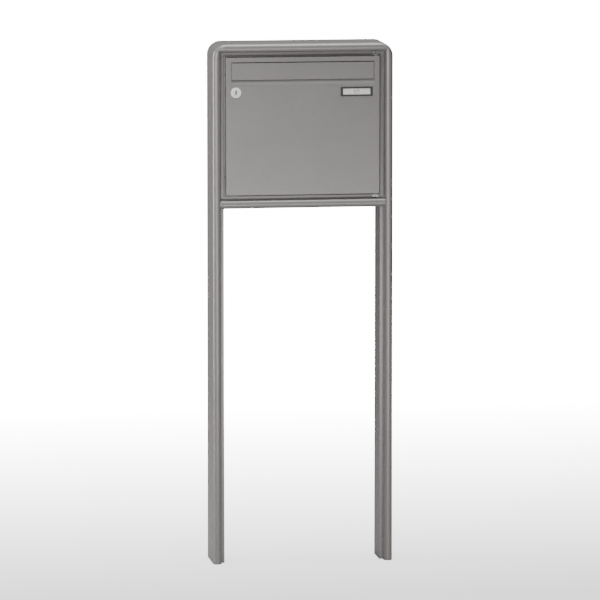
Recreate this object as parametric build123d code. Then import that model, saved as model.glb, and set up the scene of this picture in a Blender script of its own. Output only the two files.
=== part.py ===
from build123d import *
import os

# Free-standing letterbox: one front-opening box in an aluminium frame on two posts.
# Millimetres. X to the right as seen from the front, Y to the back, Z up.
# Origin: on the ground, midway between the posts and midway through the frame's depth.

# ---- frame: driving sizes
OPEN_W = 370.0  # clear width between the posts, the letterbox format
OPEN_H = 330.0  # clear height between the rails
LEG_H = 844.0  # ground to the underside of the lower rail
BEAD_W = 20.5  # face width of the round-fronted bead
SHOULDER_W = 8.5  # flat shoulder on the inner side of the bead
FRAME_D = 120.0  # depth over the front and back beads
STEP = 22.0  # shoulder behind the bead's crest
CORNER_ROUND = 3.0  # how far the rounding of the top corners reaches past the frame's width
RAIL_SET_BACK = 2.0  # lower rail's crest behind the posts' crest
WALL = 2.0  # extrusion wall
SEAT_WALL = 3.0  # inner wall of the shoulder, which takes the tapped holes
CAST_WALL = 3.0  # wall of the corner castings
PORT_R = 2.5  # screw port along the extrusion
PORT_WALL = 2.5
PORT_PITCH = 40.0
SHOULDER_FILLET = 1.0
COPE_GAP = 0.2  # lower rail to posts
JOINT_LINE = 0.3  # corner castings to posts and top rail

# ---- letterbox body
BOX_GAP = 0.3  # body to frame opening
BOX_SHEET = 1.2
BOX_CORNER_R = 3.0
BOX_FLANGE = 12.0  # folded edge round the front and the back opening
BOX_SET_BACK = 24.0  # body's front behind the frame's crest
BOX_D = 90.0
BACK_SHEET = 1.2
BACK_INSET = 1.0  # back panel's edge inside the body's edge

# ---- door
DOOR_GAP = 3.0  # door to frame opening
DOOR_SHEET = 1.5
DOOR_SET_BACK = 5.0  # door's face behind the frame's crest
DOOR_D = 15.0
DOOR_LIP = 10.0  # folded lip round the door's back
DOOR_FOLD_R = 1.2
PIVOT_INSET = 8.0  # hinge axis from the door's right edge
PIVOT_DEPTH = 7.0  # hinge axis behind the door's face
PIN_R = 2.5
PIN_GRIP = 6.5  # pin length inside the door
PIN_HEAD_R = 4.0
PIN_HEAD_H = 1.5
BUSH_WALL = 1.5
BUSH_FLANGE_R = 5.5
BUSH_FLANGE_T = 0.8
BRACKET_T = 2.0
BRACKET_W = 16.0
BRACKET_TAB_H = 7.5
BRACKET_NOSE = 6.0  # bracket plate in front of the hinge axis
BUFFER_R = 4.0
BUFFER_END_DIST = 45.0  # door buffers from the ends of the body

# ---- slot, flap and guard
SLOT_W = 338.4  # window in the door's skin
SLOT_TOP = 11.0  # window's top edge below the door's top edge
SLOT_H = 55.0
FLAP_GAP = 0.8  # flap to window at the sides
FLAP_TOP_GAP = 2.0
FLAP_H = 39.9
FLAP_SHEET = 1.5
FLAP_SET_BACK = 0.5  # flap's face behind the door's face
FLAP_LIP = 4.0  # fold along the flap's lower edge
FLAP_AXIS_DROP = 4.0  # flap axis below the flap's top edge
FLAP_AXIS_DEPTH = 5.0  # flap axis behind the flap's face
FLAP_PIN_R = 1.5
KNUCKLE_R = 3.0
KNUCKLE_W = 16.0
KNUCKLE_INSET = 10.0  # outer knuckle from the flap's end
SURROUND_SHEET = 1.5
SURROUND_RIM = 4.0  # rim of the slot surround behind the door's skin
SURROUND_LIFT = 2.0  # surround's opening above the window's top edge, for the flap's swing
CHEEK_T = 2.0
CHEEK_GAP = 0.5  # cheeks to the door's lip
SILL_STRIP_H = 7.0  # upright strip above the window's lower edge
SILL_BEVEL_D = 4.0
SILL_BEVEL_H = 5.0
SILL_BACK_IN = 12.0  # sill's back edge behind the door's face
SILL_RISE = 1.5
SKIRT_H = 16.0
EAR_W = 10.0  # ears of the surround on the door's welded studs
EAR_OUT = 8.0
EAR_X = 70.0  # lower ears from the door's centre
STUD_R = 1.5
STUD_L = 5.0
STUD_NUT_AF = 5.5
STUD_NUT_T = 2.4
STOP_W = 6.2
STOP_H = 9.0
STOP_LIFT = 17.5  # stop's lower edge above the window's lower edge
FLAP_BUFFER_R = 2.8
FLAP_BUFFER_L = 2.7
GUARD_SHEET = 1.0
GUARD_W = 300.0
GUARD_REACH = 23.0
GUARD_FALL = 18.0
GUARD_TAB_H = 13.0
GUARD_DROP = 1.0  # guard's bend below the sill's back edge
CLIP_R = 3.0
CLIP_T = 0.8
PIN_END = 1.3  # flap pin past its clips

# ---- lock
LOCK_X = 23.5  # lock's axis from the door's left edge
LOCK_DROP = 82.0  # lock's axis below the door's top edge
LOCK_FACE_R = 12.3
LOCK_FACE_T = 2.0
LOCK_BARREL_R = 9.5
LOCK_FLAT = 16.0  # across the barrel's flats
LOCK_NUT_AF = 22.0
LOCK_NUT_T = 4.0
PLUG_R = 7.0
PLUG_PROUD = 0.3
KEYWAY_W = 3.0
KEYWAY_H = 10.5
KEYWAY_D = 14.0
DRIVE_W = 7.0  # square that drives the cam
CAM_T = 2.5
CAM_W = 14.0
CAM_REACH = 20.0
CAM_GAP = 2.2  # cam to the back of the body's front flange, taken up by the buffers

# ---- name plate
PLATE_X = 127.0  # centre to the right of the door's centre
PLATE_DROP = 82.6  # centre below the door's top edge
PLATE_W = 76.0
PLATE_H = 22.0
PLATE_PROUD = 1.6
PLATE_BODY_D = 4.0
PLATE_RIM = 3.2  # rim that overlaps the door's skin
CARD_W = 65.0
CARD_H = 14.0
CARD_T = 0.5
COVER_T = 1.5
COVER_IN = 0.4
LUG_OUT = 1.2

# ---- fasteners and fits
FIT = 0.05  # radial play of pins and screws
PLAY = 0.2  # play along an axis
REST_GAP = 0.3  # soft buffer to the part that it stops
M5_R = 2.5
M5_HEAD_R = 4.6
M5_HEAD_H = 2.6
M4_R = 2.0
M4_HEAD_R = 3.5
M4_HEAD_H = 2.0
RIVET_R = 1.6
RIVET_HEAD_R = 3.2
RIVET_HEAD_H = 1.0
KEY_DRIVE = 0.5  # hexagon key size as a share of the head's radius
BOX_SCREW_L = 12.0
BACK_SCREW_L = 7.0
BRACKET_SCREW_L = 5.0
JOINER_SCREW_L = 16.0
SET_SCREW_L = 10.0
BOX_SCREW_END = 50.0  # body screws from the ends of the body
JOINER_L = 36.0
JOINER_SCREW_Y = 8.0
JOINER_GAP = 0.3
KEY_GAP = 0.3  # corner key to the walls around it
KEY_LEG = 32.0  # corner key's length inside a post or rail
KEY_SCREW_IN = 18.0  # corner key's set screw from the end of the post or rail

# ---- worked out from the above
MEMBER_W = BEAD_W + SHOULDER_W
CORNER_R = MEMBER_W + CORNER_ROUND  # outside radius of the top corners, whose inside is square
OUT_W = OPEN_W + 2 * MEMBER_W
TOTAL_H = LEG_H + OPEN_H + 2 * MEMBER_W
HALF_D = FRAME_D / 2
SHOULDER_Y = HALF_D - STEP
CORNER_Z = TOTAL_H - CORNER_R
POST_L = CORNER_Z - JOINT_LINE
TOP_RAIL_L = OUT_W - 2 * (CORNER_R + JOINT_LINE)
OPEN_Z0 = LEG_H + MEMBER_W
OPEN_Z1 = OPEN_Z0 + OPEN_H
OPEN_ZM = (OPEN_Z0 + OPEN_Z1) / 2
PORT_Y = PORT_PITCH / 2
PORT_U = MEMBER_W / 2

BOX_W = OPEN_W - 2 * BOX_GAP
BOX_H = OPEN_H - 2 * BOX_GAP
BOX_Y0 = -HALF_D + BOX_SET_BACK
BOX_Y1 = BOX_Y0 + BOX_D

DOOR_W = OPEN_W - 2 * DOOR_GAP
DOOR_H = OPEN_H - 2 * DOOR_GAP
DOOR_Y0 = -HALF_D + DOOR_SET_BACK
DOOR_Y1 = DOOR_Y0 + DOOR_D
SKIN_Y = DOOR_Y0 + DOOR_SHEET
DOOR_Z0 = OPEN_Z0 + DOOR_GAP
DOOR_Z1 = OPEN_Z1 - DOOR_GAP
PIVOT_X = DOOR_W / 2 - PIVOT_INSET
PIVOT_Y = DOOR_Y0 + PIVOT_DEPTH
BUSH_R = PIN_R + FIT + BUSH_WALL
CHEEK_D = DOOR_D - 2 * DOOR_SHEET - CHEEK_GAP

SLOT_Z1 = DOOR_Z1 - SLOT_TOP
SLOT_Z0 = SLOT_Z1 - SLOT_H
FLAP_Y = DOOR_Y0 + FLAP_SET_BACK
FLAP_W = SLOT_W - 2 * FLAP_GAP
FLAP_Z1 = SLOT_Z1 - FLAP_TOP_GAP
FLAP_Z0 = FLAP_Z1 - FLAP_H
FLAP_AXIS_Y = FLAP_Y + FLAP_AXIS_DEPTH
FLAP_AXIS_Z = FLAP_Z1 - FLAP_AXIS_DROP
SILL_Z = SLOT_Z0 + SILL_STRIP_H + SILL_BEVEL_H
SKIRT_Y = DOOR_Y0 + SILL_BACK_IN
STOP_Z = SLOT_Z0 + STOP_LIFT

LOCK_CX = -DOOR_W / 2 + LOCK_X
LOCK_CZ = DOOR_Z1 - LOCK_DROP
CAM_Y = BOX_Y0 + BOX_SHEET + CAM_GAP
BARREL_Y1 = CAM_Y - PLAY
PLATE_CZ = DOOR_Z1 - PLATE_DROP


# ---- small helpers
def span(x0, x1, y0, y1, z0, z1):
    """A block between two corners."""
    size = (x1 - x0, y1 - y0, z1 - z0)
    return Pos((x0 + x1) / 2, (y0 + y1) / 2, (z0 + z1) / 2) * Box(*size)


def area(x0, x1, y0, y1):
    """A flat rectangle between two corners."""
    return Pos((x0 + x1) / 2, (y0 + y1) / 2) * Rectangle(x1 - x0, y1 - y0)


def rod(start, axis, radius, length):
    """A round bar from a point along +X, +Y or +Z, or back along it if the length is negative."""
    turn = {"x": Rotation(0, 90, 0), "y": Rotation(-90, 0, 0), "z": Rotation(0, 0, 0)}[axis]
    middle = Pos(0, 0, length / 2)
    return Pos(*start) * turn * middle * Cylinder(radius, abs(length))


def hexagon_bar(start, axis, across_flats, length):
    """A hexagonal bar from a point along +X, +Y or +Z, or back along it if the length is negative."""
    turn = {"x": Rotation(0, 90, 0), "y": Rotation(-90, 0, 0), "z": Rotation(0, 0, 0)}[axis]
    face = RegularPolygon(across_flats / 2, 6, major_radius=False)
    return Pos(*start) * turn * extrude(face, amount=length)


def screw(seat, axis, way, radius, length, head_r, head_h):
    """A socket head screw: its head stands on the seat, and its shank runs along way from there."""
    shank = rod(seat, axis, radius, way * length)
    head = rod(seat, axis, head_r, -way * head_h)
    rim = head.edges().filter_by(GeomType.CIRCLE)
    head = chamfer(outer_ring(rim, axis, -way), head_h * 0.2)
    top = shifted(seat, axis, -way * head_h)
    socket = hexagon_bar(top, axis, head_r * 2 * KEY_DRIVE, way * head_h * 0.6)
    return head + shank - socket


def set_screw(start, axis, way, radius, length):
    """A headless screw from its outer end, with a socket there."""
    socket = hexagon_bar(start, axis, radius, way * radius)
    return rod(start, axis, radius, way * length) - socket


def shifted(point, axis, by):
    step = {"x": (by, 0, 0), "y": (0, by, 0), "z": (0, 0, by)}[axis]
    return tuple(p + s for p, s in zip(point, step))


def outer_ring(edges, axis, way):
    """The edges furthest along way on an axis."""
    line = {"x": Axis.X, "y": Axis.Y, "z": Axis.Z}[axis]
    ordered = edges.sort_by(line)
    return ordered[-1:] if way > 0 else ordered[:1]


def both_sides(piece):
    """A piece on the left and its mirror image on the right, as separate solids."""
    return Compound([*piece.solids(), *mirror(piece, about=Plane.YZ).solids()])


def group(pieces):
    return Compound([s for p in pieces for s in p.solids()])


# ---- frame section: u runs inwards from the outer face, v through the depth
def stadium(half_depth, width):
    return Pos(BEAD_W / 2, 0) * SlotOverall(2 * half_depth, width, rotation=90)


def outline(half_depth):
    """Round-ended bead with the stepped-back shoulder on its inner side."""
    shape = stadium(half_depth, BEAD_W) + area(BEAD_W / 2, MEMBER_W, -SHOULDER_Y, SHOULDER_Y)
    edge = shape.vertices().filter_by_position(Axis.X, MEMBER_W - FIT, MEMBER_W + FIT)
    return fillet(edge, SHOULDER_FILLET)


def tube_section(half_depth):
    """The extrusion: two bead chambers, and three shoulder chambers parted by ribs with screw ports."""
    bead_room = stadium(half_depth - WALL, BEAD_W - 2 * WALL)
    bead_room -= area(0, MEMBER_W, -SHOULDER_Y, SHOULDER_Y)
    inner = SHOULDER_Y - WALL
    middle = area(WALL, MEMBER_W - SEAT_WALL, -inner, inner)
    section = outline(half_depth) - bead_room
    for side in (-1, 1):
        y = side * PORT_Y
        middle -= area(0, MEMBER_W, y - WALL / 2, y + WALL / 2)
        middle -= Pos(PORT_U, y) * Circle(PORT_R + PORT_WALL)
    section -= middle
    for side in (-1, 1):
        section -= Pos(PORT_U, side * PORT_Y) * Circle(PORT_R)
    return section


def casting_hollow():
    """The open hollow of a corner casting, which leaves an even wall."""
    inner = SHOULDER_Y - CAST_WALL
    hollow = stadium(HALF_D - CAST_WALL, BEAD_W - 2 * CAST_WALL)
    return hollow + area(BEAD_W / 2, MEMBER_W - CAST_WALL, -inner, inner)


# ---- places shared by holes and their screws
def box_screw_places():
    """Left-hand ends of the screws that hold the body to a post, on the inside of the body."""
    x = -BOX_W / 2 + BOX_SHEET
    return [(x, 0, z) for z in (OPEN_Z0 + BOX_SCREW_END, OPEN_Z1 - BOX_SCREW_END)]


def joiner_screw_places():
    """Where the lower rail's left joiner is screwed to the post."""
    x = -OPEN_W / 2
    return [(x, y, LEG_H + MEMBER_W / 2) for y in (-JOINER_SCREW_Y, JOINER_SCREW_Y)]


def key_screw_places():
    """Set screws of the two left corner keys: (point on the shoulder's face, axis)."""
    found = []
    for side in (-1, 1):
        y = side * key_mid_y()
        found.append(((-OPEN_W / 2, y, POST_L - KEY_SCREW_IN), "x"))
        found.append(((-TOP_RAIL_L / 2 + KEY_SCREW_IN, y, OPEN_Z1), "z"))
    return found


def key_mid_y():
    return (PORT_Y + PORT_R + PORT_WALL + SHOULDER_Y - CAST_WALL) / 2


def bracket_screw_places():
    """On the front face of a bracket's tab, as (x, height away from the opening)."""
    return [(PIVOT_X + dx, BRACKET_TAB_H / 2 + 0.25) for dx in (-BRACKET_W / 4, BRACKET_W / 4)]


# ---- frame pieces
def post_left():
    post = extrude(Pos(-OUT_W / 2, 0) * tube_section(HALF_D), amount=POST_L)
    holes = [*box_screw_places(), *joiner_screw_places()]
    for _, y, z in holes:
        post -= rod((-OPEN_W / 2 + FIT, y, z), "x", M5_R + FIT, -SEAT_WALL - 1)
    for place, axis in key_screw_places():
        if axis == "x":
            post -= rod(shifted(place, "x", FIT), "x", M5_R + FIT, -SEAT_WALL - 1)
    return post


def corner_left():
    """Corner casting: the post's and the rail's shapes meet in a mitre, and the outside is rounded."""
    return rounded_mitre(outline(HALF_D), 0) - rounded_mitre(casting_hollow(), CAST_WALL)


def rounded_mitre(section, inset):
    """A frame section run up and across to a mitre, in a round a hair inside the tubes' faces."""
    x0 = -OUT_W / 2
    x1 = x0 + CORNER_R
    upright = extrude(Pos(x0, 0, CORNER_Z) * section, amount=CORNER_R)
    plane = Plane(origin=(x1, 0, TOTAL_H), x_dir=(0, 0, -1), z_dir=(-1, 0, 0))
    level = extrude(plane * section, amount=CORNER_R)
    below = Polyline((x0, TOTAL_H), (x0, CORNER_Z), (x1, CORNER_Z), close=True)
    wedge = extrude(Plane.XZ * make_face(below), amount=FRAME_D, both=True)
    mitred = (upright & wedge) + (level - wedge)
    depth = HALF_D - inset - FIT
    round_edge = stadium(depth, BEAD_W - 2 * (inset + FIT))
    round_edge += area(BEAD_W / 2, (MEMBER_W + CORNER_R) / 2, -depth, depth)
    line = Axis((x1, 0, CORNER_Z), (0, 1, 0))
    return mitred & revolve(Pos(x0, 0, CORNER_Z) * round_edge, line, 90)


def top_rail():
    plane = Plane(origin=(-TOP_RAIL_L / 2, 0, TOTAL_H), x_dir=(0, 0, -1), z_dir=(1, 0, 0))
    rail = extrude(plane * tube_section(HALF_D), amount=TOP_RAIL_L)
    for place, axis in key_screw_places():
        if axis == "z":
            hole = rod(shifted(place, "z", -FIT), "z", M5_R + FIT, SEAT_WALL + 1)
            rail -= hole + mirror(hole, about=Plane.YZ)
    return rail - bracket_holes(OPEN_Z1, 1)


def bottom_rail():
    length = OUT_W - BEAD_W
    plane = Plane(origin=(length / 2, 0, LEG_H), x_dir=(0, 0, 1), z_dir=(-1, 0, 0))
    rail = extrude(plane * tube_section(HALF_D - RAIL_SET_BACK), amount=length)
    envelope = offset(outline(HALF_D), amount=COPE_GAP)
    post = extrude(Pos(-OUT_W / 2, 0) * envelope, amount=POST_L)
    rail -= post + mirror(post, about=Plane.YZ)
    place = (rail_set_screw_x(), 0, LEG_H - FIT)
    hole = rod(place, "z", M5_R + FIT, WALL + 1)
    rail -= hole + mirror(hole, about=Plane.YZ)
    return rail - bracket_holes(OPEN_Z0, -1)


def bracket_holes(edge_z, way):
    """Tapped holes for a hinge bracket in the shoulder's front wall."""
    holes = []
    for x, up in bracket_screw_places():
        start = (x, -SHOULDER_Y - FIT, edge_z + way * up)
        holes.append(rod(start, "y", M4_R + FIT, BRACKET_SCREW_L - BRACKET_T + PLAY))
    return group(holes)


def corner_keys():
    """Four angle keys that join the posts to the top rail through the hollow corners."""
    half = (SHOULDER_Y - CAST_WALL - PORT_Y - PORT_R - PORT_WALL) / 2 - KEY_GAP
    outer = PORT_U
    inner = MEMBER_W - SEAT_WALL - KEY_GAP
    x0 = -OUT_W / 2 + outer
    x1 = -OUT_W / 2 + inner
    z1 = TOTAL_H - outer
    z0 = TOTAL_H - inner
    keys = []
    for side in (-1, 1):
        y = side * key_mid_y()
        key = span(x0, x1, y - half, y + half, POST_L - KEY_LEG, z1)
        key += span(x0, -TOP_RAIL_L / 2 + KEY_LEG, y - half, y + half, z0, z1)
        for place, axis in key_screw_places():
            if place[1] * side > 0:
                way = -1 if axis == "x" else 1
                key -= rod(place, axis, M5_R + FIT, way * (SET_SCREW_L + 1))
        keys.append(key)
    return both_sides(group(keys))


def corner_set_screws():
    screws = []
    for place, axis in key_screw_places():
        way = -1 if axis == "x" else 1
        screws.append(set_screw(place, axis, way, M5_R, SET_SCREW_L))
    return both_sides(group(screws))


def rail_set_screw_x():
    return -OPEN_W / 2 + JOINER_L / 2


def rail_joiners():
    """Blocks inside the lower rail's ends, screwed to the posts before the rail goes on."""
    half = PORT_Y - PORT_R - PORT_WALL - KEY_GAP
    low = LEG_H + WALL + JOINER_GAP
    high = LEG_H + MEMBER_W - SEAT_WALL - JOINER_GAP
    x0 = -OPEN_W / 2
    block = span(x0, x0 + JOINER_L, -half, half, low, high)
    seat = x0 + JOINER_SCREW_L / 2
    for _, y, z in joiner_screw_places():
        block -= rod((x0 - 1, y, z), "x", M5_R + 2 * FIT, JOINER_L)
        block -= rod((seat, y, z), "x", M5_HEAD_R + PLAY, JOINER_L)
    block -= rod((rail_set_screw_x(), 0, low - 1), "z", M5_R + FIT, SET_SCREW_L)
    return both_sides(block)


def joiner_screws():
    seat = -OPEN_W / 2 + JOINER_SCREW_L / 2
    made = [
        screw((seat, y, z), "x", -1, M5_R, JOINER_SCREW_L, M5_HEAD_R, M5_HEAD_H)
        for _, y, z in joiner_screw_places()
    ]
    return both_sides(group(made))


def rail_set_screws():
    start = (rail_set_screw_x(), 0, LEG_H + PLAY)
    return both_sides(set_screw(start, "z", 1, M5_R, SET_SCREW_L - 1))


# ---- letterbox body
def box_shell():
    """Sheet body: four walls, with a folded flange round the front and the back opening."""
    half_w = BOX_W / 2
    z0 = OPEN_Z0 + BOX_GAP
    z1 = OPEN_Z1 - BOX_GAP
    t = BOX_SHEET
    shell = span(-half_w, half_w, BOX_Y0, BOX_Y1, z0, z1)
    shell = fillet(shell.edges().filter_by(Axis.Y), BOX_CORNER_R)
    room = span(-half_w + t, half_w - t, BOX_Y0 + t, BOX_Y1 - t, z0 + t, z1 - t)
    shell -= fillet(room.edges().filter_by(Axis.Y), BOX_CORNER_R - t)
    w = half_w - BOX_FLANGE
    shell -= span(-w, w, BOX_Y0 - 1, BOX_Y1 + 1, z0 + BOX_FLANGE, z1 - BOX_FLANGE)
    for x, y, z in box_screw_places():
        hole = rod((x + 1, y, z), "x", M5_R + 2 * FIT, -BOX_SHEET - 2)
        shell -= hole + mirror(hole, about=Plane.YZ)
    for x, z in back_screw_places():
        shell -= rod((x, BOX_Y1 + 1, z), "y", M4_R + FIT, -BOX_SHEET - 2)
    return shell


def back_screw_places():
    """Six screws round the back panel."""
    x = BOX_W / 2 - BOX_FLANGE / 2
    z = BOX_H / 2 - BOX_FLANGE / 2
    rows = (-z, 0, z)
    return [(side * x, OPEN_ZM + row) for side in (-1, 1) for row in rows]


def back_panel():
    half_w = BOX_W / 2 - BACK_INSET
    half_h = BOX_H / 2 - BACK_INSET
    panel = span(-half_w, half_w, BOX_Y1, BOX_Y1 + BACK_SHEET, OPEN_ZM - half_h, OPEN_ZM + half_h)
    panel = fillet(panel.edges().filter_by(Axis.Y), BACK_SHEET * 2)
    for x, z in back_screw_places():
        panel -= rod((x, BOX_Y1 - 1, z), "y", M4_R + 2 * FIT, BACK_SHEET + 2)
    return panel


def back_panel_screws():
    seat = BOX_Y1 + BACK_SHEET
    return group(
        screw((x, seat, z), "y", -1, M4_R, BACK_SCREW_L, M4_HEAD_R, M4_HEAD_H)
        for x, z in back_screw_places()
    )


def box_screws():
    return both_sides(
        group(
            screw(place, "x", -1, M5_R, BOX_SCREW_L, M5_HEAD_R, M5_HEAD_H)
            for place in box_screw_places()
        )
    )


def door_buffers():
    """Rubber studs on the body's left flange, where the closed door comes to rest."""
    x = -BOX_W / 2 + BOX_FLANGE / 2
    length = DOOR_Y1 + REST_GAP - BOX_Y0
    places = (OPEN_Z0 + BUFFER_END_DIST, OPEN_Z1 - BUFFER_END_DIST)
    return group(rod((x, BOX_Y0, z), "y", BUFFER_R, length) for z in places)


# ---- hinges
def hinge_bracket(edge_z, door_z, way):
    """Angle bracket on a rail's shoulder: a tab with two screws and a plate that holds the pin."""
    x0 = PIVOT_X - BRACKET_W / 2
    x1 = PIVOT_X + BRACKET_W / 2
    near = door_z + way * (BUSH_FLANGE_T + PLAY)
    far = near + way * BRACKET_T
    tip = edge_z + way * BRACKET_TAB_H
    low, high = sorted((near, far))
    plate = span(x0, x1, PIVOT_Y - BRACKET_NOSE, -SHOULDER_Y, low, high)
    front = plate.edges().filter_by(Axis.Z).group_by(Axis.Y)[0]
    plate = fillet(front, BRACKET_NOSE)
    low, high = sorted((near, tip))
    bracket = plate + span(x0, x1, -SHOULDER_Y - BRACKET_T, -SHOULDER_Y, low, high)
    bracket -= rod((PIVOT_X, PIVOT_Y, near - way), "z", PIN_R + FIT / 2, way * (BRACKET_T + 2))
    for x, up in bracket_screw_places():
        start = (x, -SHOULDER_Y - BRACKET_T - 1, edge_z + way * up)
        bracket -= rod(start, "y", M4_R + FIT, BRACKET_T + 2)
    return bracket


def hinge_pin(door_z, way):
    """Headed pin through a bracket's plate into the door."""
    seat = door_z + way * (BUSH_FLANGE_T + PLAY + BRACKET_T)
    reach = BRACKET_T + PLAY + BUSH_FLANGE_T + PIN_GRIP
    shank = rod((PIVOT_X, PIVOT_Y, seat), "z", PIN_R, -way * reach)
    head = rod((PIVOT_X, PIVOT_Y, seat), "z", PIN_HEAD_R, way * PIN_HEAD_H)
    return shank + head


def hinge_bush(door_z, way):
    """Flanged bush in the door's folded edge."""
    body = rod((PIVOT_X, PIVOT_Y, door_z), "z", BUSH_R, -way * PIN_GRIP)
    flange = rod((PIVOT_X, PIVOT_Y, door_z), "z", BUSH_FLANGE_R, way * BUSH_FLANGE_T)
    bore = rod((PIVOT_X, PIVOT_Y, door_z + way), "z", PIN_R + FIT, -way * (PIN_GRIP + 2))
    return body + flange - bore


def bracket_screws():
    made = []
    for edge_z, way in ((OPEN_Z1, 1), (OPEN_Z0, -1)):
        for x, up in bracket_screw_places():
            seat = (x, -SHOULDER_Y - BRACKET_T, edge_z + way * up)
            made.append(screw(seat, "y", 1, M4_R, BRACKET_SCREW_L, M4_HEAD_R, M4_HEAD_H))
    return group(made)


# ---- door
def door_panel():
    """Folded sheet door: skin, four edges and a lip, with the slot, lock and name plate cut out."""
    half = DOOR_W / 2
    pan = span(-half, half, DOOR_Y0, DOOR_Y1, DOOR_Z0, DOOR_Z1)
    pan = fillet(pan.faces().sort_by(Axis.Y)[0].edges(), DOOR_FOLD_R)
    t = DOOR_SHEET
    pan -= span(-half + t, half - t, SKIN_Y, DOOR_Y1 - t, DOOR_Z0 + t, DOOR_Z1 - t)
    lip = DOOR_LIP
    pan -= span(-half + lip, half - lip, SKIN_Y, DOOR_Y1 + 1, DOOR_Z0 + lip, DOOR_Z1 - lip)
    pan -= span(-SLOT_W / 2, SLOT_W / 2, DOOR_Y0 - 1, SKIN_Y + 1, SLOT_Z0, SLOT_Z1)
    pan -= lock_barrel(FIT, DOOR_Y0 - 1, SKIN_Y + 1)
    w = PLATE_W / 2 - PLATE_RIM
    h = PLATE_H / 2 - PLATE_RIM + FIT
    x0 = PLATE_X - w - FIT
    x1 = PLATE_X + w + FIT
    pan -= span(x0, x1, DOOR_Y0 - 1, SKIN_Y + 1, PLATE_CZ - h, PLATE_CZ + h)
    for z in (DOOR_Z0, DOOR_Z1):
        pan -= rod((PIVOT_X, PIVOT_Y, z - t - 1), "z", BUSH_R + FIT, 2 * t + 2)
    for x, z in stud_places():
        pan += rod((x, SKIN_Y, z), "y", STUD_R, STUD_L)
    return pan


def stud_places():
    """Studs welded to the skin: one beside each end of the slot and two below it."""
    side = SLOT_W / 2 + CHEEK_T + EAR_OUT / 2
    low = SLOT_Z0 - EAR_OUT / 2
    middle = (SLOT_Z0 + SLOT_Z1) / 2
    return [(-side, middle), (side, middle), (-EAR_X, low), (EAR_X, low)]


def surround_nuts():
    seat = SKIN_Y + SURROUND_SHEET
    nuts = []
    for x, z in stud_places():
        nut = hexagon_bar((x, seat, z), "y", STUD_NUT_AF, STUD_NUT_T)
        nuts.append(nut - rod((x, seat - 1, z), "y", STUD_R + FIT, STUD_NUT_T + 2))
    return group(nuts)


# ---- slot surround, flap and guard
def slot_surround():
    """Moulding behind the door's skin: rim, cheeks for the flap's pin, stops and the sloping sill."""
    half = SLOT_W / 2
    rim = SURROUND_RIM
    t = SURROUND_SHEET
    z0 = SLOT_Z0 - rim
    z1 = SLOT_Z1 + rim
    body = span(-half - rim, half + rim, SKIN_Y, SKIN_Y + t, z0, z1)
    for x, z in stud_places():
        edge = EAR_OUT / 2
        body += span(x - EAR_W / 2, x + EAR_W / 2, SKIN_Y, SKIN_Y + t, z - edge, z + edge)
    for x, z in stud_places():
        body -= rod((x, SKIN_Y - 1, z), "y", STUD_R + 2 * FIT, t + 2)
    body -= span(-half, half, SKIN_Y - 1, SKIN_Y + t + 1, SLOT_Z0, SLOT_Z1 + SURROUND_LIFT)
    end = -half - CHEEK_T
    cheek = span(end, -half, SKIN_Y, SKIN_Y + CHEEK_D, z0, z1)
    stop_y = flap_back_y() + FLAP_BUFFER_L + REST_GAP
    cheek += span(end, -half + STOP_W, stop_y, stop_y + t, STOP_Z, STOP_Z + STOP_H)
    cheek -= rod((end, FLAP_AXIS_Y, FLAP_AXIS_Z), "x", CLIP_R + PLAY, -rim)
    body -= both_sides(rod((end, FLAP_AXIS_Y, FLAP_AXIS_Z), "x", CLIP_R + PLAY, -rim))
    body += cheek + mirror(cheek, about=Plane.YZ)
    body += sill()
    return body - rod((end - 1, FLAP_AXIS_Y, FLAP_AXIS_Z), "x", FLAP_PIN_R + FIT, OUT_W)


def flap_back_y():
    return FLAP_Y + FLAP_SHEET


def sheet_profile(points, thickness):
    """Closed outline of a bent sheet whose one face follows the points, given as (y, z)."""
    line = Polyline(*[(y, z) for y, z in points])
    return make_face(line.offset_2d(thickness, side=Side.RIGHT, closed=True).edges())


def along_x(profile, width):
    """A profile drawn in (y, z), pulled to both sides of the middle plane."""
    plane = Plane(origin=(0, 0, 0), x_dir=(0, 1, 0), z_dir=(1, 0, 0))
    return extrude(plane * profile, amount=width / 2, both=True)


def sill():
    """Below the flap: an upright strip, a bevel, a ledge that sheds water outwards, a back skirt."""
    points = [
        (SKIN_Y, SLOT_Z0),
        (SKIN_Y, SLOT_Z0 + SILL_STRIP_H),
        (SKIN_Y + SILL_BEVEL_D, SILL_Z),
        (SKIRT_Y, SILL_Z + SILL_RISE),
        (SKIRT_Y, SILL_Z + SILL_RISE - SKIRT_H),
    ]
    bent = along_x(sheet_profile(points, SURROUND_SHEET), SLOT_W)
    for place in guard_rivet_places():
        bent -= rod(place, "y", RIVET_R + FIT, -SURROUND_SHEET - GUARD_SHEET - 1)
    return bent


def flap():
    """Flat flap with a fold along its lower edge and three knuckles on its pin."""
    half = FLAP_W / 2
    back = flap_back_y()
    plate = span(-half, half, FLAP_Y, back, FLAP_Z0, FLAP_Z1)
    plate += span(-half, half, FLAP_Y, FLAP_Y + FLAP_LIP, FLAP_Z0, FLAP_Z0 + FLAP_SHEET)
    plate = fillet(plate.faces().sort_by(Axis.Y)[0].edges(), FLAP_SHEET * 0.4)
    end = half - KNUCKLE_INSET - KNUCKLE_W
    for x0 in (-end - KNUCKLE_W, -KNUCKLE_W / 2, end):
        x1 = x0 + KNUCKLE_W
        web = KNUCKLE_R * 0.7
        plate += rod((x0, FLAP_AXIS_Y, FLAP_AXIS_Z), "x", KNUCKLE_R, KNUCKLE_W)
        plate += span(x0, x1, back, FLAP_AXIS_Y, FLAP_AXIS_Z - web, FLAP_AXIS_Z + web)
    return plate - rod((-half - 1, FLAP_AXIS_Y, FLAP_AXIS_Z), "x", FLAP_PIN_R + FIT, FLAP_W + 2)


def clip_x():
    return SLOT_W / 2 + CHEEK_T


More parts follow.
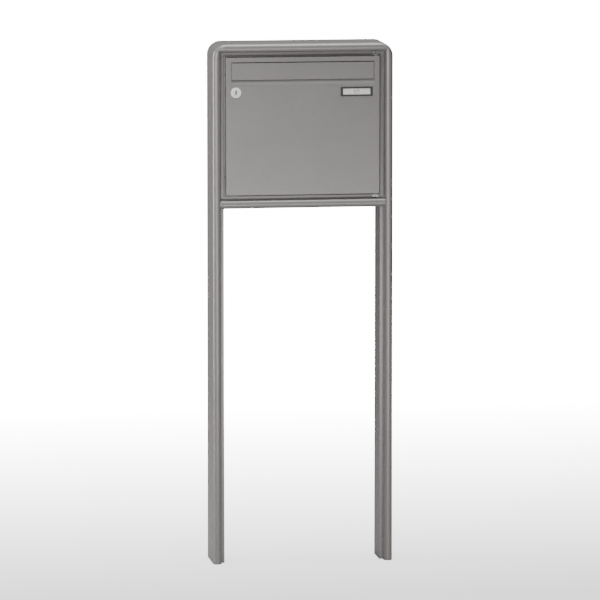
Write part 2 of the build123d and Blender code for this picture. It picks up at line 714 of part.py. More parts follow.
def flap_pin():
    reach = clip_x() + CLIP_T + PIN_END
    return rod((-reach, FLAP_AXIS_Y, FLAP_AXIS_Z), "x", FLAP_PIN_R, 2 * reach)


def flap_pin_clips():
    """Push-on rings outside the cheeks."""
    start = (clip_x(), FLAP_AXIS_Y, FLAP_AXIS_Z)
    ring = rod(start, "x", CLIP_R, CLIP_T)
    ring -= rod(shifted(start, "x", -1), "x", FLAP_PIN_R + FIT / 2, CLIP_T + 2)
    return both_sides(ring)


def flap_buffers():
    """Rubber studs on the stops, behind the flap's lower corners."""
    x = SLOT_W / 2 - STOP_W / 2
    y = flap_back_y() + REST_GAP
    return both_sides(rod((x, y, STOP_Z + STOP_H / 2), "y", FLAP_BUFFER_R, FLAP_BUFFER_L))


def guard_rivet_places():
    y = SKIRT_Y + GUARD_SHEET
    z = guard_top() - GUARD_TAB_H + RIVET_HEAD_R + 1
    return [(x, y, z) for x in (-GUARD_W * 0.4, 0, GUARD_W * 0.4)]


def guard_top():
    return SILL_Z + SILL_RISE - GUARD_DROP


def slot_guard():
    """Bent plate behind the slot that keeps hands off the mail."""
    top = guard_top()
    points = [
        (SKIRT_Y, top - GUARD_TAB_H),
        (SKIRT_Y, top),
        (SKIRT_Y + GUARD_REACH, top - GUARD_FALL),
    ]
    guard = along_x(sheet_profile(points, GUARD_SHEET), GUARD_W)
    for place in guard_rivet_places():
        guard -= rod(shifted(place, "y", 1), "y", RIVET_R + FIT, -GUARD_SHEET - 2)
    return guard


def guard_rivets():
    made = []
    for place in guard_rivet_places():
        grip = SURROUND_SHEET + GUARD_SHEET
        rivet = rod(place, "y", RIVET_HEAD_R, RIVET_HEAD_H)
        rivet += rod(place, "y", RIVET_R, -grip)
        rivet += rod(shifted(place, "y", -grip), "y", RIVET_HEAD_R * 0.75, -RIVET_HEAD_H)
        made.append(rivet)
    return group(made)


# ---- lock
def lock_barrel(extra, y0, y1):
    """The barrel's round with two flats, larger by extra all round."""
    round_bar = rod((LOCK_CX, y0, LOCK_CZ), "y", LOCK_BARREL_R + extra, y1 - y0)
    half = LOCK_FLAT / 2 + extra
    wide = LOCK_BARREL_R + 1
    return round_bar & span(LOCK_CX - half, LOCK_CX + half, y0, y1, LOCK_CZ - wide, LOCK_CZ + wide)


def lock_body():
    face = rod((LOCK_CX, DOOR_Y0 - LOCK_FACE_T, LOCK_CZ), "y", LOCK_FACE_R, LOCK_FACE_T)
    face = fillet(outer_ring(face.edges().filter_by(GeomType.CIRCLE), "y", -1), LOCK_FACE_T * 0.45)
    body = face + lock_barrel(0, DOOR_Y0, BARREL_Y1)
    start = (LOCK_CX, DOOR_Y0 - LOCK_FACE_T - 1, LOCK_CZ)
    return body - rod(start, "y", PLUG_R + FIT, FRAME_D)


def lock_nut():
    nut = hexagon_bar((LOCK_CX, SKIN_Y, LOCK_CZ), "y", LOCK_NUT_AF, LOCK_NUT_T)
    return nut - lock_barrel(FIT, SKIN_Y - 1, SKIN_Y + LOCK_NUT_T + 1)


def plug_face_y():
    return DOOR_Y0 - LOCK_FACE_T - PLUG_PROUD


def lock_plug():
    """Turning plug with its keyway, and the square behind it that drives the cam."""
    y0 = plug_face_y()
    plug = rod((LOCK_CX, y0, LOCK_CZ), "y", PLUG_R, CAM_Y - y0)
    plug = fillet(outer_ring(plug.edges().filter_by(GeomType.CIRCLE), "y", -1), PLUG_PROUD)
    half = DRIVE_W / 2
    plug += span(LOCK_CX - half, LOCK_CX + half, CAM_Y, CAM_Y + CAM_T, LOCK_CZ - half, LOCK_CZ + half)
    w = KEYWAY_W / 2
    h = KEYWAY_H / 2
    plug -= span(LOCK_CX - w, LOCK_CX + w, y0 - 1, y0 + KEYWAY_D, LOCK_CZ - h, LOCK_CZ + h)
    return plug - rod((LOCK_CX, CAM_Y + CAM_T + 1, LOCK_CZ), "y", M4_R + FIT, -BACK_SCREW_L - 1)


def lock_cam():
    """Flat tongue, hanging down when the door is free to open."""
    y0 = CAM_Y
    y1 = CAM_Y + CAM_T
    half = CAM_W / 2
    tip = LOCK_CZ - CAM_REACH
    cam = rod((LOCK_CX, y0, LOCK_CZ), "y", half, CAM_T)
    cam += span(LOCK_CX - half, LOCK_CX + half, y0, y1, tip, LOCK_CZ)
    cam = fillet(cam.edges().filter_by(Axis.Y).group_by(Axis.Z)[0], half * 0.4)
    hole = DRIVE_W / 2 + FIT
    return cam - span(LOCK_CX - hole, LOCK_CX + hole, y0 - 1, y1 + 1, LOCK_CZ - hole, LOCK_CZ + hole)


def cam_washer():
    start = (LOCK_CX, CAM_Y + CAM_T, LOCK_CZ)
    ring = rod(start, "y", DRIVE_W * 0.85, CLIP_T)
    return ring - rod(shifted(start, "y", -1), "y", M4_R + FIT, CLIP_T + 2)


def cam_screw():
    seat = (LOCK_CX, CAM_Y + CAM_T + CLIP_T, LOCK_CZ)
    return screw(seat, "y", -1, M4_R, BACK_SCREW_L, M4_HEAD_R, M4_HEAD_H)


# ---- name plate
def plate_block(width, height, y0, y1):
    z0 = PLATE_CZ - height / 2
    return span(PLATE_X - width / 2, PLATE_X + width / 2, y0, y1, z0, z0 + height)


def nameplate_holder():
    """Black tray that snaps into the door, with a well for the card and its cover."""
    front = DOOR_Y0 - PLATE_PROUD
    rim = plate_block(PLATE_W, PLATE_H, front, DOOR_Y0)
    rim = fillet(rim.faces().sort_by(Axis.Y)[0].edges(), PLATE_PROUD * 0.35)
    w = PLATE_W - 2 * PLATE_RIM
    h = PLATE_H - 2 * PLATE_RIM
    holder = rim + plate_block(w, h, DOOR_Y0, DOOR_Y0 + PLATE_BODY_D)
    lug_y = SKIN_Y + FIT
    lug_h = h * 0.5
    holder += plate_block(w + 2 * LUG_OUT, lug_h, lug_y, DOOR_Y0 + PLATE_BODY_D)
    well = COVER_IN + COVER_T + CARD_T
    return holder - plate_block(CARD_W, CARD_H, front - 1, front + well)


def nameplate_cover():
    y0 = DOOR_Y0 - PLATE_PROUD + COVER_IN
    return plate_block(CARD_W - 2 * FIT, CARD_H - 2 * FIT, y0, y0 + COVER_T)


def nameplate_card():
    y0 = DOOR_Y0 - PLATE_PROUD + COVER_IN + COVER_T
    return plate_block(CARD_W - 2 * FIT, CARD_H - 2 * FIT, y0, y0 + CARD_T)


def pieces():
    """Every piece by name."""
    left_post = post_left()
    left_corner = corner_left()
    return {
        "post_left": left_post,
        "post_right": mirror(left_post, about=Plane.YZ),
        "corner_left": left_corner,
        "corner_right": mirror(left_corner, about=Plane.YZ),
        "top_rail": top_rail(),
        "bottom_rail": bottom_rail(),
        "corner_keys": corner_keys(),
        "corner_set_screws": corner_set_screws(),
        "rail_joiners": rail_joiners(),
        "joiner_screws": joiner_screws(),
        "rail_set_screws": rail_set_screws(),
        "box_shell": box_shell(),
        "back_panel": back_panel(),
        "back_panel_screws": back_panel_screws(),
        "box_screws": box_screws(),
        "door_buffers": door_buffers(),
        "hinge_bracket_top": hinge_bracket(OPEN_Z1, DOOR_Z1, 1),
        "hinge_bracket_bottom": hinge_bracket(OPEN_Z0, DOOR_Z0, -1),
        "hinge_pins": group([hinge_pin(DOOR_Z1, 1), hinge_pin(DOOR_Z0, -1)]),
        "bracket_screws": bracket_screws(),
        "hinge_bushes": group([hinge_bush(DOOR_Z1, 1), hinge_bush(DOOR_Z0, -1)]),
        "door_panel": door_panel(),
        "slot_surround": slot_surround(),
        "surround_nuts": surround_nuts(),
        "flap": flap(),
        "flap_pin": flap_pin(),
        "flap_pin_clips": flap_pin_clips(),
        "flap_buffers": flap_buffers(),
        "slot_guard": slot_guard(),
        "guard_rivets": guard_rivets(),
        "lock_body": lock_body(),
        "lock_nut": lock_nut(),
        "lock_plug": lock_plug(),
        "lock_cam": lock_cam(),
        "cam_washer": cam_washer(),
        "cam_screw": cam_screw(),
        "nameplate_holder": nameplate_holder(),
        "nameplate_card": nameplate_card(),
        "nameplate_cover": nameplate_cover(),
    }


os.makedirs("parts", exist_ok=True)
for name, shape in pieces().items():
    export_step(shape, f"parts/{name}.step")
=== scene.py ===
# %% [markdown]
# # A free-standing letterbox
#
# The object is a sheet-metal letterbox held in a frame of aluminium tubes on two tall posts.
# Its shape comes ready made: posts, rails, door, flap, lock and screws are loaded as a fixed
# frame, and none of them is moved or reshaped here. What this file adds is the finish of every
# piece, a few small pieces that are too fine for the frame, the light and the camera.

# %% Load the fixed frame
import math

import bmesh
import bpy
from mathutils import Matrix, Vector


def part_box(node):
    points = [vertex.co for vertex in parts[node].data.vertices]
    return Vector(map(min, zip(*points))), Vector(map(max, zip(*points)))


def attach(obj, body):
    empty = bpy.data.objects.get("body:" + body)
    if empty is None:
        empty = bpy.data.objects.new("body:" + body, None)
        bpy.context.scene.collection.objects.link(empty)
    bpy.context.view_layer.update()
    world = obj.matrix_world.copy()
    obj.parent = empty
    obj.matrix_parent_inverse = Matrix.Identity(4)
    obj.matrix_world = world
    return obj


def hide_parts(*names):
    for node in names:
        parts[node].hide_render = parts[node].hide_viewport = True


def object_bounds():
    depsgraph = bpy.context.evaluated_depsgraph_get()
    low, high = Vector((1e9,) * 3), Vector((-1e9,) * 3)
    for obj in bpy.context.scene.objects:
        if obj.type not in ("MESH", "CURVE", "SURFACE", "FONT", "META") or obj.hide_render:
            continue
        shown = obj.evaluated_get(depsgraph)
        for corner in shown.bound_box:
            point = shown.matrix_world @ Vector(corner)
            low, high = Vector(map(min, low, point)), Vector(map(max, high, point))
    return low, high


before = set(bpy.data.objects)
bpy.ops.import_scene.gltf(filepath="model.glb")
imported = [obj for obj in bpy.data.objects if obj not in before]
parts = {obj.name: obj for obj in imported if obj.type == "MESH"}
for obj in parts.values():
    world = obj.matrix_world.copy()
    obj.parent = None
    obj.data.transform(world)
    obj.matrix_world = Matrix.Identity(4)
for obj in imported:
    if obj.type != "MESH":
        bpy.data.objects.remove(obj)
cad_lo, cad_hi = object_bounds()
print("parts:", len(parts), "size:", [round(v, 3) for v in cad_hi - cad_lo])

MM = 0.001


# %% [markdown]
# ## Two helpers for materials
#
# Colours are written as the hex values that a painter or a web page uses. Those are sRGB, and a
# shader wants linear light, so one function turns them. A second function adds a shader node with
# its settings and its links in one call, so that each finish below reads as a short recipe.
#
# Nearly every finish is a noise that varies a colour or a gloss a little. A noise texture's
# values lie mostly between 0.3 and 0.7, so one function spreads that band over a wished range.

# %% Colour and node helpers
def colour(code):
    """A linear RGBA from an sRGB hex code."""
    raw = [int(code[i : i + 2], 16) / 255 for i in (1, 3, 5)]
    return (*[c / 12.92 if c <= 0.04045 else ((c + 0.055) / 1.055) ** 2.4 for c in raw], 1.0)


def add(tree, kind, settings=None, **inputs):
    """Adds a node. Each input is a value, or an output socket to link from."""
    node = tree.nodes.new(kind)
    for key, value in (settings or {}).items():
        setattr(node, key, value)
    for key, value in inputs.items():
        by_number = key[0] == "i" and key[1:].isdigit()
        socket = node.inputs[int(key[1:]) if by_number else key.replace("_", " ")]
        if isinstance(value, bpy.types.NodeSocket):
            tree.links.new(value, socket)
        else:
            socket.default_value = value
    return node


def new_material(name):
    """An empty material, its node tree, its shader, and the place on the object."""
    material = bpy.data.materials.new(name)
    material.use_nodes = True
    tree = material.node_tree
    where = add(tree, "ShaderNodeTexCoord").outputs["Object"]
    return material, tree, tree.nodes["Principled BSDF"], where


NOISE_LOW = 0.3
NOISE_HIGH = 0.7


def noise(tree, where, size, detail):
    """A noise whose spots are about one size across."""
    return add(tree, "ShaderNodeTexNoise", Vector=where, Scale=1 / size, Detail=detail).outputs["Fac"]


def between(tree, value, low, high):
    """Spreads a noise's usual values over a range."""
    spread = add(
        tree, "ShaderNodeMapRange", Value=value,
        From_Min=NOISE_LOW, From_Max=NOISE_HIGH, To_Min=low, To_Max=high,
    )
    return spread.outputs["Result"]


def shaded(tree, code, factor):
    """A colour made lighter or darker by a factor near 1."""
    scaled = add(tree, "ShaderNodeVectorMath", {"operation": "SCALE"}, i0=colour(code)[:3], Scale=factor)
    return scaled.outputs["Vector"]


print("mid grey in linear light:", [round(v, 3) for v in colour("#808080")])


# %% [markdown]
# ## Powder coat
#
# The frame and the sheet parts carry a grey-aluminium powder coat: a polyester film about
# 0.08 mm thick with fine aluminium flakes in it, melted on in an oven. The eye reads three
# things in it. The flakes make it half metallic, so it brightens and darkens with the room.
# The film flows unevenly as it melts, which leaves a shallow ripple called orange peel. And sharp
# edges are painted a little lighter: a painted highlight, as where an edge catches the light.
#
# It could be one flat grey with a gloss value, but then the door would look like card. Here the
# flake is a fine noise in the colour, the orange peel is a bump, and a Bevel node finds the edges
# for the painted highlight.
# Real flakes are 0.03 mm and orange peel is about 1 mm across: both are drawn coarser, so that
# they can be seen from a few steps away.

# %% Powder coat recipe
COAT_GREY = "#8e8b8a"
FLAKE = 0.7 * MM
PEEL = 2.2 * MM
CLOUD = 90 * MM
EDGE = 0.8 * MM
FLAKE_TINT = (0.90, 1.10)
CLOUD_TINT = (0.975, 1.025)
COAT_GLOSS = (0.29, 0.40)
# painted highlight: sharp edges are painted lighter by this factor
EDGE_HIGHLIGHT_LIFT = 1.14  # how much lighter a sharp edge is
EDGE_FULL = 0.75  # agreement of the rounded and the flat normal at a sharp edge
EDGE_NONE = 0.98  # and where the face counts as flat


def powder_coat(name, stretch=(1, 1, 1), peel_depth=0.05 * MM, bare_below=None):
    """Grey-aluminium powder coat. stretch under 1 draws the ripple out along that axis."""
    material, tree, shader, where = new_material(name)
    drawn = add(tree, "ShaderNodeMapping", Vector=where, Scale=stretch).outputs["Vector"]
    flake = noise(tree, where, FLAKE, 2.0)
    cloud = noise(tree, where, CLOUD, 3.0)
    peel = noise(tree, drawn, PEEL, 2.0)
    grain = between(tree, flake, *FLAKE_TINT)
    drift = between(tree, cloud, *CLOUD_TINT)
    shade = add(tree, "ShaderNodeMath", {"operation": "MULTIPLY"}, i0=grain, i1=drift)

    softened = add(tree, "ShaderNodeBevel", {"samples": 4}, Radius=EDGE)
    flat = add(tree, "ShaderNodeNewGeometry").outputs["Normal"]
    agree = add(
        tree, "ShaderNodeVectorMath", {"operation": "DOT_PRODUCT"},
        i0=softened.outputs["Normal"], i1=flat,
    )
    # painted highlight: the coat's colour is lifted where the rounded and the flat normal part, at a
    # sharp edge
    painted_edge_highlight = add(
        tree, "ShaderNodeMapRange", Value=agree.outputs["Value"],
        From_Min=EDGE_FULL, From_Max=EDGE_NONE, To_Min=EDGE_HIGHLIGHT_LIFT, To_Max=1.0,
    )
    lit = add(
        tree, "ShaderNodeMath", {"operation": "MULTIPLY"},
        i0=shade.outputs["Value"], i1=painted_edge_highlight.outputs["Result"],
    )
    ripple = add(
        tree, "ShaderNodeBump", Height=peel, Distance=peel_depth,
        Strength=0.6, Normal=softened.outputs["Normal"],
    )
    tree.links.new(shaded(tree, COAT_GREY, lit.outputs["Value"]), shader.inputs["Base Color"])
    tree.links.new(between(tree, flake, *COAT_GLOSS), shader.inputs["Roughness"])
    tree.links.new(ripple.outputs["Normal"], shader.inputs["Normal"])
    shader.inputs["Metallic"].default_value = 0.45
    return material


coat_post = powder_coat("powder_coat_on_upright_tube", stretch=(1, 1, 0.04))
coat_rail = powder_coat("powder_coat_on_level_tube", stretch=(0.04, 1, 1))
coat_casting = powder_coat("powder_coat_on_casting", peel_depth=0.09 * MM)
coat_sheet = powder_coat("powder_coat_on_sheet")
print("powder coats:", coat_post.name, coat_rail.name, coat_casting.name, coat_sheet.name)


# %% [markdown]
# ## Plastics and rubber
#
# The slot surround is moulded ABS in the door's grey, with the fine spark-eroded grain that
# hides flow marks. The name-plate tray is the same plastic in black. The hinge bushes are black
# acetal, which needs no oil, and the buffers are black rubber, which scatters light so widely that
# it never shows a clear highlight. All four are the same recipe with other numbers: a plain
# plastic shader, a grain that is a fine noise in the bump, and a little unevenness in the gloss.

# %% Moulded material recipe
FLOW = 30 * MM  # size of the patches where a moulding is a little lighter or darker
FLOW_TINT = (0.96, 1.04)
GLOSS_SPREAD = 0.05


def moulded(name, code, roughness, grain, depth):
    """A moulded plastic or rubber. grain is the texture's size and depth its height, in metres."""
    material, tree, shader, where = new_material(name)
    pits = noise(tree, where, grain, 3.0)
    body = shaded(tree, code, between(tree, noise(tree, where, FLOW, 2.0), *FLOW_TINT))
    gloss = between(tree, pits, roughness - GLOSS_SPREAD, roughness + GLOSS_SPREAD)
    bump = add(tree, "ShaderNodeBump", Height=pits, Distance=depth, Strength=0.6)
    tree.links.new(body, shader.inputs["Base Color"])
    tree.links.new(gloss, shader.inputs["Roughness"])
    tree.links.new(bump.outputs["Normal"], shader.inputs["Normal"])
    return material


abs_grey = moulded("moulded_abs_in_door_grey", "#8a8887", 0.5, 0.6 * MM, 0.04 * MM)
abs_black = moulded("moulded_abs_black", "#343435", 0.38, 0.6 * MM, 0.03 * MM)
acetal = moulded("black_acetal", "#2b2b2c", 0.35, 1.2 * MM, 0.01 * MM)
rubber = moulded("black_rubber", "#1c1b1a", 0.8, 0.8 * MM, 0.05 * MM)
print("plastics and rubber:", abs_grey.name, abs_black.name, acetal.name, rubber.name)


# %% [markdown]
# ## Plated and bare metals
#
# Screws, pins and nuts are steel with a bright zinc plate, which dries in soft crystal
# patches of slightly different grey. The lock is zinc casting with a nickel and chrome plate, turned
# on a lathe, so its face has fine rings. The keys and joiners inside the tubes are bare aluminium,
# sawn from bar, with straight saw lines. Each is fully metallic, so its colour is what it
# reflects, and what tells them apart is how the roughness and the bump run.

# %% Metal recipe
METAL_TINT = (0.94, 1.06)


def metal(name, code, roughness, texture_scale, stretch=(1, 1, 1), depth=0.01 * MM, spread=0.08):
    """A bare or plated metal, whose noise drives its tint, its roughness and its bump."""
    material, tree, shader, where = new_material(name)
    run = add(tree, "ShaderNodeMapping", Vector=where, Scale=stretch).outputs["Vector"]
    marks = noise(tree, run, texture_scale, 3.0)
    gloss = between(tree, marks, roughness - spread, roughness + spread)
    bump = add(tree, "ShaderNodeBump", Height=marks, Distance=depth, Strength=0.5)
    tree.links.new(shaded(tree, code, between(tree, marks, *METAL_TINT)), shader.inputs["Base Color"])
    tree.links.new(gloss, shader.inputs["Roughness"])
    tree.links.new(bump.outputs["Normal"], shader.inputs["Normal"])
    shader.inputs["Metallic"].default_value = 1.0
    return material


zinc = metal("bright_zinc_plate", "#b9bbb9", 0.34, 1.5 * MM)
sawn = metal("sawn_aluminium", "#c4c4c2", 0.42, 0.8 * MM, stretch=(1, 0.05, 1), depth=0.04 * MM)
steel_rod = metal("drawn_stainless_rod", "#c0bfbc", 0.26, 0.5 * MM, stretch=(0.03, 1, 1))
print("metals:", zinc.name, sawn.name, steel_rod.name)


# %% [markdown]
# ## Turned plate on the lock
#
# The lock's rings are concentric about its own axis, so its pattern has to be centred on the
# piece. A Mapping node moves the origin to the lock, and a Wave texture in its rings form draws
# the turning marks around the Y axis.

# %% Turned lock plating
lock_lo, lock_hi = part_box("lock_body")
LOCK = (lock_lo + lock_hi) / 2
TURNING = 0.8 * MM
RINGS_PER_UNIT = 3.2  # what a Wave texture draws at scale 1
SATIN = 0.3  # a satin plate scatters part of the light, as a paint does
SMOOTHER = 0.06
ROUGHER = 0.08


def turned_plate(name, code, roughness):
    """A satin plate with turning marks around the lock's axis."""
    material, tree, shader, where = new_material(name)
    centred = add(tree, "ShaderNodeMapping", Vector=where, Location=(-LOCK.x, 0, -LOCK.z))
    rings = add(
        tree, "ShaderNodeTexWave",
        {"wave_type": "RINGS", "rings_direction": "Y", "wave_profile": "SIN"},
        Vector=centred.outputs["Vector"], Scale=1 / TURNING / RINGS_PER_UNIT, Distortion=0.4, Detail=2.0,
    )
    gloss = add(
        tree, "ShaderNodeMapRange", Value=rings.outputs["Fac"],
        To_Min=roughness - SMOOTHER, To_Max=roughness + ROUGHER,
    )
    bump = add(
        tree, "ShaderNodeBump", Height=rings.outputs["Fac"], Distance=0.012 * MM, Strength=0.5
    )
    shader.inputs["Base Color"].default_value = colour(code)
    shader.inputs["Metallic"].default_value = SATIN
    tree.links.new(gloss.outputs["Result"], shader.inputs["Roughness"])
    tree.links.new(bump.outputs["Normal"], shader.inputs["Normal"])
    return material


lock_plate = turned_plate("satin_chrome_plate", "#f7f7f6", 0.36)
plug_plate = turned_plate("satin_nickel_plate", "#ecebe8", 0.38)
print("lock plates:", lock_plate.name, plug_plate.name)
print("centred on x, z (mm):", round(LOCK.x / MM, 1), round(LOCK.z / MM, 1))


# %% [markdown]
# ## Card and clear cover
#
# The name card is uncoated white paper board: fibres make it slightly uneven and dead matt. The
# cover is clear acrylic. Full transmission would be true to acrylic, but a sheet of 1.5 mm only
# has to let the card through and catch a highlight, so it is a smooth film of low alpha.

# %% Paper and acrylic
FIBRE = 0.9 * MM
FIBRE_TINT = (0.97, 1.03)
HAZE = 6 * MM
HAZE_GLOSS = (0.03, 0.08)


def paper(name, code):
    """Uncoated board, or ink that has soaked into it."""
    material, tree, shader, where = new_material(name)
    fibre = noise(tree, where, FIBRE, 4.0)
    bump = add(tree, "ShaderNodeBump", Height=fibre, Distance=0.02 * MM, Strength=0.5)
    tree.links.new(shaded(tree, code, between(tree, fibre, *FIBRE_TINT)), shader.inputs["Base Color"])
    tree.links.new(bump.outputs["Normal"], shader.inputs["Normal"])
    shader.inputs["Roughness"].default_value = 0.85
    return material


def acrylic(name):
    """Clear acrylic, as a thin film with a slightly uneven gloss."""
    material, tree, shader, where = new_material(name)
    gloss = between(tree, noise(tree, where, HAZE, 2.0), *HAZE_GLOSS)
    tree.links.new(gloss, shader.inputs["Roughness"])
    shader.inputs["Base Color"].default_value = colour("#fbfbfa")
    shader.inputs["IOR"].default_value = 1.49
    shader.inputs["Alpha"].default_value = 0.16
    return material


card_white = paper("white_card", "#f4f3f0")
print_red = paper("printed_red", "#b3211d")
clear = acrylic("clear_acrylic")
print("card and cover:", card_white.name, print_red.name, clear.name)


# %% [markdown]
# ## Dress the frame's parts
#
# Every loaded part keeps its shape and only changes its material. One table says which finish
# each part has, so that nothing is left in the plain colour that it was loaded with.

# %% Finish of each part
FINISHES = {
    coat_post: ["post_left", "post_right"],
    coat_rail: ["top_rail", "bottom_rail"],
    coat_casting: ["corner_left", "corner_right", "hinge_bracket_top", "hinge_bracket_bottom"],
    coat_sheet: ["box_shell", "back_panel", "door_panel", "flap", "slot_guard"],
    abs_grey: ["slot_surround"],
    abs_black: ["nameplate_holder"],
    acetal: ["hinge_bushes"],
    rubber: ["door_buffers", "flap_buffers"],
    zinc: [
        "hinge_pins", "bracket_screws",
        "back_panel_screws", "box_screws", "corner_set_screws", "joiner_screws",
        "rail_set_screws", "flap_pin_clips", "surround_nuts", "guard_rivets",
        "lock_nut", "lock_cam", "cam_washer", "cam_screw",
    ],
    steel_rod: ["flap_pin"],
    sawn: ["corner_keys", "rail_joiners"],
    lock_plate: ["lock_body"],
    plug_plate: ["lock_plug"],
    card_white: ["nameplate_card"],
    clear: ["nameplate_cover"],
}

dressed = set()
for finish, names in FINISHES.items():
    for name in names:
        slots = parts[name].material_slots
        if not slots:
            parts[name].data.materials.append(finish)
        for slot in slots:
            slot.material = finish
        dressed.add(name)
print("dressed:", len(dressed), "left plain:", sorted(set(parts) - dressed))


# %% [markdown]
# ## Small pieces
#
# Three things are too fine for the frame and are made here: the keyway's shutter, the name
# plate's clear cover, and the sign that is printed on its card.
#
# Each starts as a cube in a bmesh. A cube that is scaled, turned and moved is a bar, and a bevel
# takes off its edges, so one helper makes every bar of all three pieces. A second helper turns
# the bmesh into an object and says which moving body carries it.

# %% Bars and pieces
def bar(mesh, centre, size, turn=0.0, edge=0.0):
    """Adds a block of a given size, turned about Y, with rounded edges if edge isn't 0."""
    place = Matrix.Translation(centre) @ Matrix.Rotation(turn, 4, "Y") @ Matrix.Diagonal((*size, 1))
    made = bmesh.ops.create_cube(mesh, size=1, matrix=place)
    if edge:
        edges = list({e for v in made["verts"] for e in v.link_edges})
        bmesh.ops.bevel(
            mesh, geom=edges, offset=edge, affect="EDGES", segments=3, profile=0.5, material=-1
        )


def piece(name, mesh, finish, body):
    """Turns a bmesh into an object that rides on a body."""
    bmesh.ops.recalc_face_normals(mesh, faces=mesh.faces)
    data = bpy.data.meshes.new(name)
    mesh.to_mesh(data)
    mesh.free()
    data.materials.append(finish)
    made = bpy.data.objects.new(name, data)
    bpy.context.collection.objects.link(made)
    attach(made, body)
    print(name, "faces:", len(data.polygons))
    return made


sample = bmesh.new()
bar(sample, (0, 0, 0), (1, 1, 1), edge=0.1)
print("a rounded bar has", len(sample.verts), "points and", len(sample.faces), "faces")
sample.free()


# %% [markdown]
# ### Keyway shutter
#
# A dust shutter closes the keyway: two leaves of blackened steel behind the plug's face, which a
# key pushes apart. Their near-black colour is also painted shade, the dark deep in the keyway, where
# one would otherwise look through into the lock. It turns with the plug.

# %% Keyway shutter
KEYWAY = Vector((3.0, 0, 10.5)) * MM
LEAF_T = 0.4 * MM
LEAF_BEHIND = 2.5 * MM
LEAF_GAP = 0.2 * MM
LEAF_EDGE = 0.1 * MM
# painted shade: the leaves are near black, for the dark deep in the keyway
shutter_black_and_keyway_shade = moulded("black_oxide_and_painted_keyway_shade", "#0b0b0c", 0.7, 0.6 * MM, 0.01 * MM)
plug_lo, plug_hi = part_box("lock_plug")
shutter = bmesh.new()
leaf_w = KEYWAY.x / 2 - LEAF_GAP
for side in (-1, 1):
    leaf_x = LOCK.x + side * (leaf_w + LEAF_GAP) / 2
    leaf_at = (leaf_x, plug_lo.y + LEAF_BEHIND, LOCK.z)
    bar(shutter, leaf_at, (leaf_w, LEAF_T, KEYWAY.z - LEAF_GAP), edge=LEAF_EDGE)
piece("keyway_shutter", shutter, shutter_black_and_keyway_shade, "lock_cylinder")


# %% [markdown]
# ### Clear cover
#
# The name plate's cover is a block of acrylic with softly rounded edges, which catch the light.
# It takes the place of the frame's plain block, and is a hair thinner at the back to leave room
# for the printed sign.

# %% Cover lens
LENS_EDGE = 0.45 * MM
PRINT_ROOM = 0.12 * MM  # between the card and the back of its cover
cover_lo, cover_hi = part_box("nameplate_cover")
cover_hi = Vector((cover_hi.x, cover_hi.y - PRINT_ROOM, cover_hi.z))
lens = bmesh.new()
bar(lens, (cover_lo + cover_hi) / 2, cover_hi - cover_lo, edge=LENS_EDGE)
cover_lens = piece("cover_lens", lens, clear, "door")
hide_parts("nameplate_cover")


# %% [markdown]
# ### Printed sign
#
# The blank card comes with a small printed sign: a plain outline of an envelope, four edges and
# two sloping lines for its flap. The ink is thin bars that lie on the card.

# %% Printed sign on the card
SIGN_W = 11 * MM
SIGN_H = 7 * MM
LINE = 1.2 * MM
INK = 0.04 * MM
card_lo, card_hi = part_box("nameplate_card")
sign_at = Vector(((card_lo.x + card_hi.x) / 2, card_lo.y - INK, (card_lo.z + card_hi.z) / 2))
sign = bmesh.new()
for side in (-1, 1):
    bar(sign, sign_at + Vector((0, 0, side * SIGN_H / 2)), (SIGN_W + LINE, INK, LINE))
    bar(sign, sign_at + Vector((side * SIGN_W / 2, 0, 0)), (LINE, INK, SIGN_H))
    slope = math.atan2(SIGN_H / 2, SIGN_W / 2)
    flap_line = math.hypot(SIGN_H / 2, SIGN_W / 2)
    middle = sign_at + Vector((side * SIGN_W / 4, 0, SIGN_H / 4))
    bar(sign, middle, (flap_line, INK, LINE), turn=-side * slope)
piece("card_sign", sign, print_red, "door")


# %% [markdown]
# ## Floor and backdrop
#
# The letterbox stands on a plain pale sweep. One large plane does for both floor and backdrop:
# near the posts it is light grey, and it fades to white with distance, as a studio sweep does
# when the light falls on its far end. Such a sweep is lit far more brightly than the object, so it
# glows for the camera, and the Light Path node lets only a little of that glow reach the posts.

# %% Sweep
SWEEP_HALF = 60
GREY_AT = -0.5
WHITE_AT = 2.4
GLOW = 1.3  # light from the grey end, as the camera sees it
GLOW_RISE = 13.0  # how many times brighter the white end is
BOUNCE = 0.03  # light that the letterbox receives from the sweep
floor_mesh = bmesh.new()
bmesh.ops.create_grid(floor_mesh, x_segments=1, y_segments=1, size=SWEEP_HALF)
floor_data = bpy.data.meshes.new("sweep")
floor_mesh.to_mesh(floor_data)
floor_mesh.free()
floor = bpy.data.objects.new("sweep", floor_data)
bpy.context.collection.objects.link(floor)

sweep, tree, shader, where = new_material("paper_sweep")
spot = add(tree, "ShaderNodeSeparateXYZ", Vector=where)
fade = add(
    tree, "ShaderNodeMapRange", Value=spot.outputs["Y"],
    From_Min=GREY_AT, From_Max=WHITE_AT, To_Min=0.0, To_Max=1.0,
)
rise = add(tree, "ShaderNodeMath", {"operation": "POWER"}, i0=GLOW_RISE, i1=fade.outputs["Result"])
glow = add(tree, "ShaderNodeMath", {"operation": "MULTIPLY"}, i0=GLOW, i1=rise.outputs["Value"])
seen = add(tree, "ShaderNodeLightPath").outputs["Is Camera Ray"]
strength = add(
    tree, "ShaderNodeMapRange", Value=seen, To_Min=BOUNCE, To_Max=glow.outputs["Value"]
)
shader.inputs["Base Color"].default_value = colour("#9c9c9c")
shader.inputs["Emission Color"].default_value = colour("#ffffff")
tree.links.new(strength.outputs["Result"], shader.inputs["Emission Strength"])
shader.inputs["Roughness"].default_value = 0.9
shader.inputs["Specular IOR Level"].default_value = 0.1
floor.data.materials.append(sweep)
print("sweep fades from y =", GREY_AT, "to", WHITE_AT, "m and brightens", GLOW_RISE, "times")


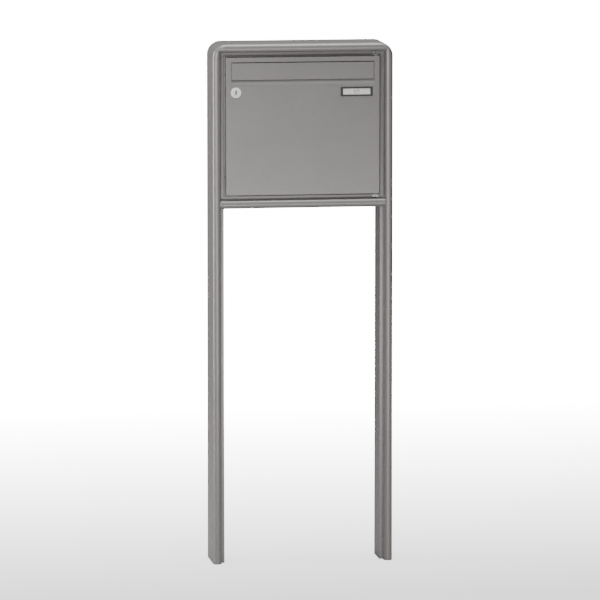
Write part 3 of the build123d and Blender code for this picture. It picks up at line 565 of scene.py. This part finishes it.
# %% [markdown]
# ## Light
#
# The tent around the letterbox is bright only above. It is dim in front and behind and nearly dark
# at both sides, so that the posts' outer sides fall off and their round beads read as round. A
# narrow strip of light stands at the left: it is too thin to light the sides much, but every
# rounded bead mirrors it as one bright upright line. A softbox in front models the door, a low
# one reaches under the flap and the rails, and one overhead lifts the top.

# %% World and softboxes
TENT_FRONT = 0.08
TENT_SIDE = 0.02
TENT_BACK = 0.2
TENT_TOP = 0.9
SIDE_SHARE = 0.3  # where the dark sides begin and end, from the front at 0 to the back at 1
TOP_FROM = 0.25  # how far up the bright top begins, from the horizon at 0 to straight up at 1
TOP_FULL = 0.9


def grey(value):
    return (value, value, value, 1.0)


world = bpy.data.worlds.new("tent")
bpy.context.scene.world = world
world.use_nodes = True
sky = world.node_tree
away = add(sky, "ShaderNodeSeparateXYZ", Vector=add(sky, "ShaderNodeTexCoord").outputs["Generated"])
round_about = add(sky, "ShaderNodeMapRange", Value=away.outputs["Y"], From_Min=-1.0, From_Max=1.0)
walls = add(sky, "ShaderNodeValToRGB", Fac=round_about.outputs["Result"])
walls.color_ramp.interpolation = "EASE"
walls.color_ramp.elements[0].color = grey(TENT_FRONT)
walls.color_ramp.elements[1].color = grey(TENT_BACK)
for share in (SIDE_SHARE, 1 - SIDE_SHARE):
    walls.color_ramp.elements.new(share).color = grey(TENT_SIDE)
upward = add(sky, "ShaderNodeMapRange", Value=away.outputs["Z"], From_Min=TOP_FROM, From_Max=TOP_FULL)
tent = add(sky, "ShaderNodeMix", {"data_type": "RGBA"}, Factor=upward.outputs["Result"])
sky.links.new(walls.outputs["Color"], tent.inputs[6])
tent.inputs[7].default_value = grey(TENT_TOP)
sky.links.new(tent.outputs[2], sky.nodes["Background"].inputs["Color"])


def softbox(name, place, aim, width, height, power):
    """A rectangular area light that faces a point."""
    data = bpy.data.lights.new(name, "AREA")
    data.shape = "RECTANGLE"
    data.size = width
    data.size_y = height
    data.energy = power
    lamp = bpy.data.objects.new(name, data)
    bpy.context.collection.objects.link(lamp)
    lamp.location = place
    lamp.rotation_euler = (Vector(aim) - Vector(place)).to_track_quat("-Z", "Y").to_euler()
    print(name, width, "x", height, "m,", power, "W")


MIDDLE = (cad_lo + cad_hi) / 2
HEAD = Vector((MIDDLE.x, MIDDLE.y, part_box("door_panel")[0].z))
softbox("strip_left", place=(-3.0, 0.2, 1.3), aim=MIDDLE, width=0.16, height=3.0, power=85)
softbox("softbox_front", place=(-0.8, -1.9, 1.3), aim=HEAD, width=0.8, height=1.2, power=20)
softbox("softbox_low", place=(0.1, -2.2, 0.3), aim=HEAD, width=1.4, height=0.4, power=10)
softbox("softbox_top", place=(0.1, -0.4, 4.2), aim=MIDDLE, width=2.5, height=2.0, power=85)


# %% [markdown]
# ## Camera
#
# The letterbox is seen from a little left of its front and a little above, with a long lens
# from far away, so that the posts stay almost parallel, as in a catalogue picture.

# %% Camera
LENS = 336.5
SENSOR = 36.0
CAMERA_AT = Vector((-1.8718, -13.0058, 2.3618))
YAW = math.radians(8.193)
PITCH = math.radians(7.555)
camera_data = bpy.data.cameras.new("camera")
camera_data.lens = LENS
camera_data.sensor_width = SENSOR
camera = bpy.data.objects.new("camera", camera_data)
bpy.context.collection.objects.link(camera)
camera.location = CAMERA_AT
camera.rotation_euler = (math.pi / 2 - PITCH, 0, -YAW)
bpy.context.scene.camera = camera
print("camera:", round((CAMERA_AT - MIDDLE).length, 2), "m away, lens", LENS, "mm")
